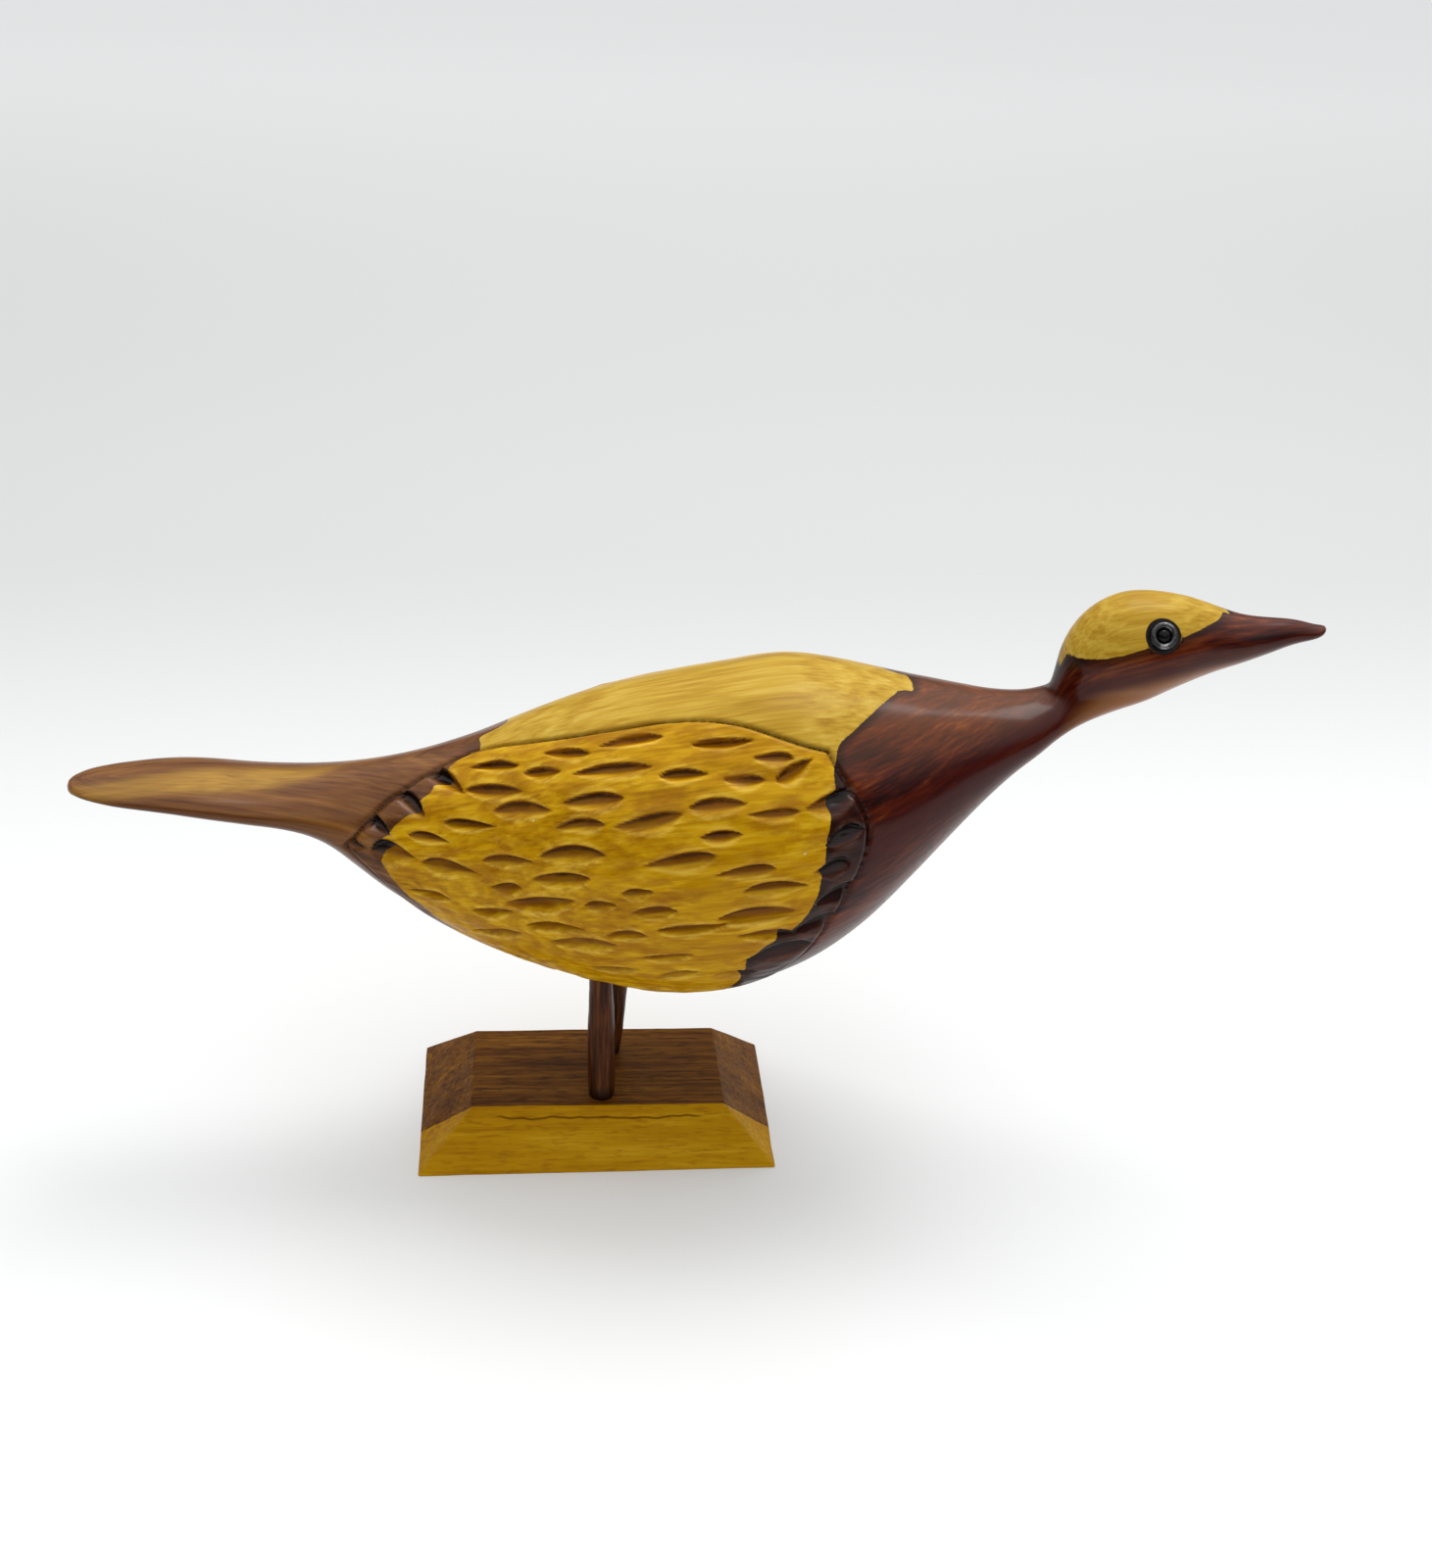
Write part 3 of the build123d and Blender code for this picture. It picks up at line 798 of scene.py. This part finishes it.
class Shader:
    """A short way to write a material's nodes."""

    def __init__(self, name):
        self.material = bpy.data.materials.new(name)
        self.material.use_nodes = True
        self.tree = self.material.node_tree
        self.tree.nodes.clear()
        self.output = self.node("ShaderNodeOutputMaterial")
        self.surface = self.node("ShaderNodeBsdfPrincipled")
        self.link(self.surface.outputs[0], self.output.inputs["Surface"])

    def node(self, kind, **settings):
        made = self.tree.nodes.new(kind)
        for key, value in settings.items():
            setattr(made, key, value)
        return made

    def link(self, source, target):
        self.tree.links.new(source, target)

    def put(self, socket, value):
        """Set a socket, or link it when the value is another node's output."""
        if isinstance(value, bpy.types.NodeSocket):
            self.link(value, socket)
        elif isinstance(value, tuple):
            socket.default_value = (*value, 1)
        else:
            socket.default_value = value

    def math(self, operation, *values):
        made = self.node("ShaderNodeMath", operation=operation)
        for socket, value in zip(made.inputs, values):
            self.put(socket, value)
        return made.outputs[0]

    def add(self, a, b):
        return self.math("ADD", a, b)

    def times(self, a, b):
        return self.math("MULTIPLY", a, b)

    def xyz(self, vector):
        """A vector's three parts."""
        split = self.node("ShaderNodeSeparateXYZ")
        self.link(vector, split.inputs[0])
        return split.outputs

    def place(self, scale=(1, 1, 1), slope=0.0):
        """The point's own place in millimetres, turned to lie along the grain and scaled."""
        coordinates = self.node("ShaderNodeTexCoord").outputs["Object"]
        turned = self.node("ShaderNodeMapping", vector_type="POINT")
        turned.inputs["Rotation"].default_value = (0, math.atan(slope), 0)
        turned.inputs["Scale"].default_value = (1 / MM, 1 / MM, 1 / MM)
        self.link(coordinates, turned.inputs["Vector"])
        return self.scaled(turned.outputs[0], scale)

    def scaled(self, vector, scale):
        made = self.node("ShaderNodeMapping", vector_type="POINT")
        made.inputs["Scale"].default_value = scale
        self.link(vector, made.inputs["Vector"])
        return made.outputs[0]

    def noise(self, vector, scale=1.0, detail=4.0, roughness=0.55, distortion=0.0):
        made = self.node("ShaderNodeTexNoise")
        self.link(vector, made.inputs["Vector"])
        made.inputs["Scale"].default_value = scale
        made.inputs["Detail"].default_value = detail
        made.inputs["Roughness"].default_value = roughness
        made.inputs["Distortion"].default_value = distortion
        return made.outputs["Fac"]

    def ramp(self, value, stops):
        made = self.node("ShaderNodeValToRGB")
        self.link(value, made.inputs[0])
        elements = made.color_ramp.elements
        while len(elements) < len(stops):
            elements.new(0.5)
        for element, (place, colour) in zip(elements, stops):
            element.position = place
            element.color = (*colour, 1)
        return made.outputs[0]

    def mix(self, share, a, b):
        made = self.node("ShaderNodeMix", data_type="RGBA")
        for key, value in (("Factor", share), ("A", a), ("B", b)):
            self.put(made.inputs[key], value)
        return made.outputs["Result"]

    def between(self, value, low, high, out_low=0.0, out_high=1.0):
        """out_low where the value is low, out_high where it is high, and smooth between."""
        made = self.node("ShaderNodeMapRange", interpolation_type="SMOOTHSTEP")
        self.put(made.inputs["Value"], value)
        ends = {"From Min": low, "From Max": high, "To Min": out_low, "To Max": out_high}
        for key, number in ends.items():
            self.put(made.inputs[key], number)
        return made.outputs["Result"]

    def attribute(self, name):
        return self.node("ShaderNodeAttribute", attribute_name=name).outputs["Fac"]

    def bump(self, height, strength, distance_mm, base=None):
        made = self.node("ShaderNodeBump")
        made.inputs["Strength"].default_value = strength
        made.inputs["Distance"].default_value = distance_mm * MM
        self.link(height, made.inputs["Height"])
        if base is not None:
            self.link(base, made.inputs["Normal"])
        return made.outputs[0]

    def finish(self, colour, roughness, normal=None, metallic=0.0, coat=0.0, coat_roughness=0.1,
               specular=0.5):
        settings = {"Base Color": colour, "Roughness": roughness, "Metallic": metallic,
                    "Specular IOR Level": specular, "Coat Weight": coat, "Coat Roughness": coat_roughness}
        for key, value in settings.items():
            self.put(self.surface.inputs[key], value)
        if normal is not None:
            self.link(normal, self.surface.inputs["Normal"])
        return self.material


def grain(shader, slope):
    """Noises that run along the grain, each 0..1: fine fibres and broad bands."""
    fibres = shader.noise(shader.place((0.035, 1.1, 1.1), slope), detail=5, roughness=0.62)
    bands = shader.noise(shader.place((0.012, 0.16, 0.16), slope), detail=3, distortion=0.4)
    return fibres, bands


def growth_rings(shader, slope, axis_height, bands):
    """Rings around the trunk's heart, 0..1, pushed about by the bands."""
    _, across, height = shader.xyz(shader.place((1, 1, 1), slope))
    up = shader.math("SUBTRACT", height, axis_height)
    radius = shader.math("SQRT", shader.add(shader.times(across, across), shader.times(up, up)))
    wandering = shader.add(radius, shader.times(bands, RING_WANDER))
    phase = shader.times(wandering, 2 * math.pi / RING_SPACING)
    return shader.math("MULTIPLY_ADD", shader.math("SINE", phase), 0.5, 0.5)


def sapwood(shader, streaks, wing):
    """Pale wood: straw on the back and the head, deeper gold on the wings."""
    return shader.mix(wing, shader.ramp(streaks, SAP_BACK), shader.ramp(streaks, SAP_WING))


def heartwood(shader, streaks, wing, sap):
    """Dark wood: red in front, brown toward the tail, darkest beside the sapwood, with painted light and
    shade.
    """
    toward_tail = shader.between(shader.xyz(shader.place())["X"], 10, -60)
    in_front = shader.between(toward_tail, 0.9, 0.2)
    flow = shader.node("ShaderNodeAttribute", attribute_name="flow").outputs["Vector"]
    fine_flow = shader.noise(shader.scaled(flow, (0.05, 0.9, 0.9)), detail=4, roughness=0.55)
    broad_flow = shader.noise(shader.scaled(flow, (0.016, 0.15, 0.15)), detail=2)
    figure = shader.add(shader.times(fine_flow, 0.5), shader.times(broad_flow, 0.5))
    front = shader.ramp(figure, HEART_FRONT)
    # brown on the head's lower side, and painted light on the trunk's upward faces
    front = shader.mix(shader.times(shader.attribute("brown"), 0.85), front, (0.30, 0.112, 0.030))
    # painted dark reflection: the flank's middle darkened to deep red
    front = shader.mix(shader.times(shader.attribute("painted_dark_reflection"), 0.85), front, (0.045, 0.002, 0.001))
    tail = shader.ramp(figure, HEART_TAIL)
    # painted shade: the tail's underside darkened
    tail = shader.mix(shader.times(shader.attribute("under"), 0.7), tail, (0.045, 0.010, 0.003))
    colour = shader.mix(toward_tail, front, tail)
    streak = shader.times(shader.attribute("streak"), 0.75)
    colour = shader.mix(streak, colour, shader.ramp(streaks, STREAK_SAP))
    wing_rim = shader.times(wing, in_front)
    colour = shader.mix(shader.times(wing_rim, 0.65), colour, (0.012, 0.003, 0.002))
    beside_sap = shader.times(shader.between(sap, -3.5, -0.3), in_front)
    return shader.mix(shader.times(beside_sap, 0.72), colour, (0.010, 0.002, 0.001))


def two_tone_wood(name):
    """Golden sapwood over dark red heartwood, under a thin lacquer, with painted light and shade."""
    shader = Shader(name)
    fibres, bands = grain(shader, GRAIN_SLOPE)
    rings = growth_rings(shader, GRAIN_SLOPE, belly + GRAIN_AXIS_HEIGHT, bands)
    streaks = shader.add(shader.times(fibres, 0.55),
                         shader.add(shader.times(bands, 0.35), shader.times(rings, 0.10)))
    sap, wing, stain_and_shade = (shader.attribute(key) for key in ("sap", "wing", "stain_and_shade"))
    ragged = shader.math("MULTIPLY_ADD", fibres, 0.6, -0.3)
    is_sap = shader.between(shader.add(sap, ragged), -0.15, 0.15)
    colour = shader.mix(is_sap, heartwood(shader, streaks, wing, sap), sapwood(shader, streaks, wing))

    def lay_over(share, pair):
        """Cover the wood with a colour that has a tone on heartwood and one on sapwood."""
        return shader.mix(share, colour, shader.mix(is_sap, *pair))

    patches = shader.noise(shader.place((0.3, 1, 1)), scale=0.35, detail=3)
    on_floor = shader.times(shader.between(stain_and_shade, 0.0, 0.5),
                            shader.between(patches, 0.32, 0.60, 0.70, 1.0))
    colour = lay_over(on_floor, GOUGE_FLOOR)
    # painted highlights along the gouges' rims, stronger on some fibres
    on_lip_highlight = shader.times(shader.attribute("lip_highlight"), shader.between(fibres, 0.35, 0.6, 0.15, 0.6))
    colour = lay_over(on_lip_highlight, GOUGE_LIP_HIGHLIGHT)
    colour = lay_over(shader.between(stain_and_shade, 0.5, 1.0, 0.0, 0.9), GOUGE_SHADE)
    # painted shade: a dark line along the bottom of the groove around the wing
    colour = shader.mix(shader.attribute("groove_and_shade"), colour, (0.018, 0.007, 0.003))
    # painted glints: small pale specks on the wings
    specks = shader.noise(shader.place(), scale=0.5, detail=1)
    painted_glints = shader.times(shader.between(specks, 0.80, 0.83), wing)
    colour = shader.mix(shader.times(painted_glints, 0.7), colour, (0.80, 0.68, 0.45))
    blotches = shader.noise(shader.place((0.10, 0.26, 0.26), GRAIN_SLOPE), detail=4, roughness=0.6)
    colour = lay_over(shader.times(shader.between(blotches, 0.46, 0.66, 0.0, 0.60), wing), WORN_PATCH)
    rough = shader.between(fibres, 0.3, 0.7, 0.28, 0.40)
    fine = shader.bump(fibres, 0.25, 0.06)
    waves = shader.noise(shader.place((0.12, 0.5, 0.5), GRAIN_SLOPE), detail=2)
    normal = shader.bump(waves, 0.35, 0.12, fine)
    lacquer = shader.between(is_sap, 0, 1, 0.30, 0.05)  # thicker on the heartwood
    return shader.finish(colour, rough, normal, coat=lacquer, coat_roughness=0.16, specular=0.07)


def base_wood(name, front_y, top_z):
    """The base's wood: dark, with pale sapwood and a drying split along the front slope."""
    shader = Shader(name)
    fibres, bands = grain(shader, 0.0)
    streaks = shader.add(shader.times(fibres, 0.6), shader.times(bands, 0.4))
    dashes = shader.noise(shader.place((0.22, 1.3, 1.3)), detail=4, roughness=0.6)
    pale = shader.ramp(streaks, BASE_PALE)
    pale = shader.mix(shader.between(dashes, 0.50, 0.68, 0.0, 0.5), pale, (0.26, 0.085, 0.001))
    dark = shader.ramp(streaks, BASE_DARK)
    dark = shader.mix(shader.between(dashes, 0.48, 0.66, 0.0, 0.6), dark, (0.030, 0.009, 0.001))
    x, y, z = shader.xyz(shader.place())
    boundary = shader.math("MULTIPLY_ADD", shader.math("SUBTRACT", top_z, z), FRONT_LEAN, front_y)
    ragged = shader.math("MULTIPLY_ADD", fibres, 0.9, -0.45)
    ahead = shader.add(shader.math("SUBTRACT", boundary, y), ragged)
    on_front = shader.between(ahead, -0.15, 0.15)
    colour = shader.mix(on_front, dark, pale)
    wander = shader.noise(shader.place((0.045, 0, 0)), detail=3)
    split_height = shader.math("MULTIPLY_ADD", wander, SPLIT_WANDER, top_z - SPLIT_DEPTH)
    off_line = shader.math("ABSOLUTE", shader.math("SUBTRACT", z, split_height))
    off_middle = shader.math("ABSOLUTE", shader.add(x, -SPLIT_MIDDLE))
    on_line = shader.times(shader.between(off_line, 0.28, 0.06),
                           shader.between(off_middle, SPLIT_END, SPLIT_OPEN))
    drying_split = shader.times(on_line, on_front)
    colour = shader.mix(shader.times(drying_split, 0.8), colour, (0.10, 0.030, 0.001))
    rough = shader.between(fibres, 0.3, 0.7, 0.36, 0.5)
    normal = shader.bump(drying_split, 0.8, -0.2, shader.bump(fibres, 0.4, 0.1))
    return shader.finish(colour, rough, normal, specular=0.04)


def leg_wood(name):
    """Dark heartwood with fibres along the leg, darkest at the foot."""
    shader = Shader(name)
    fibres = shader.noise(shader.place((1.3, 1.3, 0.06)), detail=5, roughness=0.6)
    height = shader.xyz(shader.place())["Z"]
    foot = shader.between(height, base_top() + FOOT_CLEAR, base_top() + FOOT_DARK)
    colour = shader.mix(shader.times(foot, 0.85), shader.ramp(fibres, LEG_DARK), (0.006, 0.003, 0.002))
    normal = shader.bump(fibres, 0.4, 0.08)
    return shader.finish(colour, 0.36, normal, coat=0.05, coat_roughness=0.15, specular=0.12)


def eye_materials():
    """Dark filler, a worn silver ring, a black bead and a steel pin."""
    filler = Shader("dark_filler")
    lumps = filler.noise(filler.place(), scale=1.4, detail=4)
    filler.finish(filler.ramp(lumps, FILLER), 0.5, filler.bump(lumps, 0.6, 0.15),
                  coat=0.08, coat_roughness=0.3, specular=0.2)
    silver = Shader("worn_silver")
    tarnish = silver.noise(silver.place(), scale=0.4, detail=4)
    silver.finish(silver.ramp(tarnish, SILVER), 0.22, silver.bump(tarnish, 0.4, 0.08),
                  metallic=0.75, coat=0.25, coat_roughness=0.08)
    bead = Shader("black_bead")
    cloud = bead.noise(bead.place(), scale=1.1, detail=3)
    bead.finish(bead.ramp(cloud, BEAD), 0.12, specular=0.15)
    steel = Shader("pin_steel")
    drawn = steel.noise(steel.place((2, 2, 0.2)), detail=3)
    steel.finish(steel.ramp(drawn, STEEL), 0.35, metallic=1.0)
    return {"seat": filler.material, "ring": silver.material, "bead": bead.material,
            "pin": steel.material}


# -------- putting the bird together

carved = build_body()
holes = [rod(f"socket_{side}", a - (b - a) * SOCKET_OVERSHOOT, b, tenon_radius + SOCKET_PLAY)
         for side, (a, b) in leg_axes.items()]
for side, (a, b) in pin_axes.items():
    seat_points = vertices(f"eye_seat_{side}")
    direction = (b - a) / np.linalg.norm(b - a)
    floor_at = ((seat_points - a) @ direction).min()
    holes.append(rod(f"seat_{side}", a + direction * floor_at, b + direction * SEAT_OVERSHOOT,
                     seat_radius + SOCKET_PLAY))
    holes.append(rod(f"pin_{side}", a, b, pin_radius + SOCKET_PLAY, sides=24))
cut_holes(carved, holes)
carved.data.shade_smooth()
carved.data.set_sharp_from_angle(angle=math.radians(62))
carved.data.materials.clear()
carved.data.materials.append(two_tone_wood("two_tone_wood"))
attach(carved, "root")
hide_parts("body")

base = build_base()
base_points = vertices("base_block")
base_top_points = base_points[base_points[:, 2] > base_points[:, 2].max() - LEVEL]
base_front = base_top_points[:, 1].min() + 0.1  # the pale wood starts just behind the top's edge
base.data.materials.clear()
base.data.materials.append(base_wood("base_wood", base_front, base_points[:, 2].max()))
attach(base, "root")
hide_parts("base_block")

leg_material = leg_wood("leg_wood")
for side in SIDES:
    leg = build_leg(side)
    leg.data.materials.append(leg_material)
    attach(leg, "root")
    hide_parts(f"leg_{side}")

for kind, material in eye_materials().items():
    for side in SIDES:
        node = nodes[f"eye_{kind}_{side}"]
        node.data.materials.clear()
        node.data.materials.append(material)
        node.data.shade_smooth()

# -------- floor, light and camera, in metres
FLOOR_HALF_SIZE = 12
FLOOR_MIDDLE = (0, 11.3, 0)
# painted shade on the floor: grey behind the bird to even out the lamp's pool of light, and grey far off
FLOOR_NEAR, FLOOR_BEHIND, FLOOR_FAR = (0.88, 0.88, 0.87), (0.60, 0.60, 0.59), (0.78, 0.78, 0.775)
BEHIND_BIRD, FAR_OFF = (-0.02, 0.42), (0.6, 1.8)  # stretches along Y where the floor changes
BRIGHTEST_TOWARD = (0.10, 0.08, 1.0)
BACKDROP_STRENGTH = 0.72
CAMERA_PLACE = (-0.0232, -0.4573, 0.3212)
CAMERA_TURN = (26.29, 6.0, 2.77)  # downward, to +X and rolled, in degrees
CAMERA_LENS, CAMERA_SENSOR = 49.5, 36  # in millimetres


def build_floor():
    """A wide pale floor with painted shade: greyer just behind the bird, where the lamp is closest, than
    elsewhere.
    """
    bm = bmesh.new()
    bmesh.ops.create_grid(bm, x_segments=2, y_segments=2, size=FLOOR_HALF_SIZE,
                          matrix=Matrix.Translation(FLOOR_MIDDLE))
    floor = add_object("floor", bm)
    shader = Shader("pale_floor")
    y = shader.xyz(shader.node("ShaderNodeTexCoord").outputs["Object"])["Y"]
    pale = shader.mix(shader.between(y, *BEHIND_BIRD), FLOOR_NEAR, FLOOR_BEHIND)
    shader.finish(shader.mix(shader.between(y, *FAR_OFF), pale, FLOOR_FAR), 0.9, specular=0.1)
    floor.data.materials.append(shader.material)


def build_world():
    """Light from overhead that fades toward the horizon; the backdrop itself looks evenly pale."""
    world = bpy.data.worlds.new("studio")
    world.use_nodes = True
    tree = world.node_tree
    tree.nodes.clear()
    direction = tree.nodes.new("ShaderNodeTexCoord").outputs["Generated"]
    toward = tree.nodes.new("ShaderNodeVectorMath")
    toward.operation = "DOT_PRODUCT"
    toward.inputs[1].default_value = BRIGHTEST_TOWARD
    bright = tree.nodes.new("ShaderNodeMapRange")
    bright.interpolation_type = "SMOOTHSTEP"
    for key, number in (("From Min", 0.20), ("From Max", 0.80), ("To Min", 0.12), ("To Max", 1.30)):
        bright.inputs[key].default_value = number
    seen = tree.nodes.new("ShaderNodeMapRange")
    seen.inputs["To Max"].default_value = BACKDROP_STRENGTH
    background = tree.nodes.new("ShaderNodeBackground")
    background.inputs["Color"].default_value = (0.97, 0.99, 1.0, 1)
    output = tree.nodes.new("ShaderNodeOutputWorld")
    tree.links.new(direction, toward.inputs[0])
    tree.links.new(toward.outputs["Value"], bright.inputs["Value"])
    tree.links.new(tree.nodes.new("ShaderNodeLightPath").outputs["Is Camera Ray"], seen.inputs["Value"])
    tree.links.new(bright.outputs["Result"], seen.inputs["To Min"])
    tree.links.new(seen.outputs["Result"], background.inputs["Strength"])
    tree.links.new(background.outputs[0], output.inputs["Surface"])
    bpy.context.scene.world = world


def add_softbox(name, place, target, size, power):
    """A square lamp that faces the target."""
    lamp = bpy.data.lights.new(name, "AREA")
    lamp.shape = "SQUARE"
    lamp.size = size
    lamp.energy = power
    made = bpy.data.objects.new(name, lamp)
    made.location = place
    made.rotation_euler = (Vector(target) - Vector(place)).to_track_quat("-Z", "Y").to_euler()
    bpy.context.scene.collection.objects.link(made)


def add_camera():
    """Above the bird's right side, looking down at it, with a slight roll."""
    pitch, yaw, roll = (math.radians(angle) for angle in CAMERA_TURN)
    ahead = Vector((math.sin(yaw) * math.cos(pitch), math.cos(yaw) * math.cos(pitch), -math.sin(pitch)))
    right = ahead.cross(Vector((0, 0, 1))).normalized()
    up = right.cross(ahead)
    rolled_right = right * math.cos(roll) + up * math.sin(roll)
    rolled_up = up * math.cos(roll) - right * math.sin(roll)
    camera = bpy.data.cameras.new("camera")
    camera.lens = CAMERA_LENS
    camera.sensor_width = CAMERA_SENSOR
    camera.clip_start = 0.01
    made = bpy.data.objects.new("camera", camera)
    turn = Matrix((rolled_right, rolled_up, -ahead)).transposed().to_4x4()
    made.matrix_world = Matrix.Translation(CAMERA_PLACE) @ turn
    bpy.context.scene.collection.objects.link(made)
    bpy.context.scene.camera = made


build_floor()
build_world()
add_softbox("key", (0.28, 0.42, 1.25), (0, 0, 0.08), 0.65, 6.5)
bpy.context.scene.view_settings.view_transform = "Standard"
add_camera()
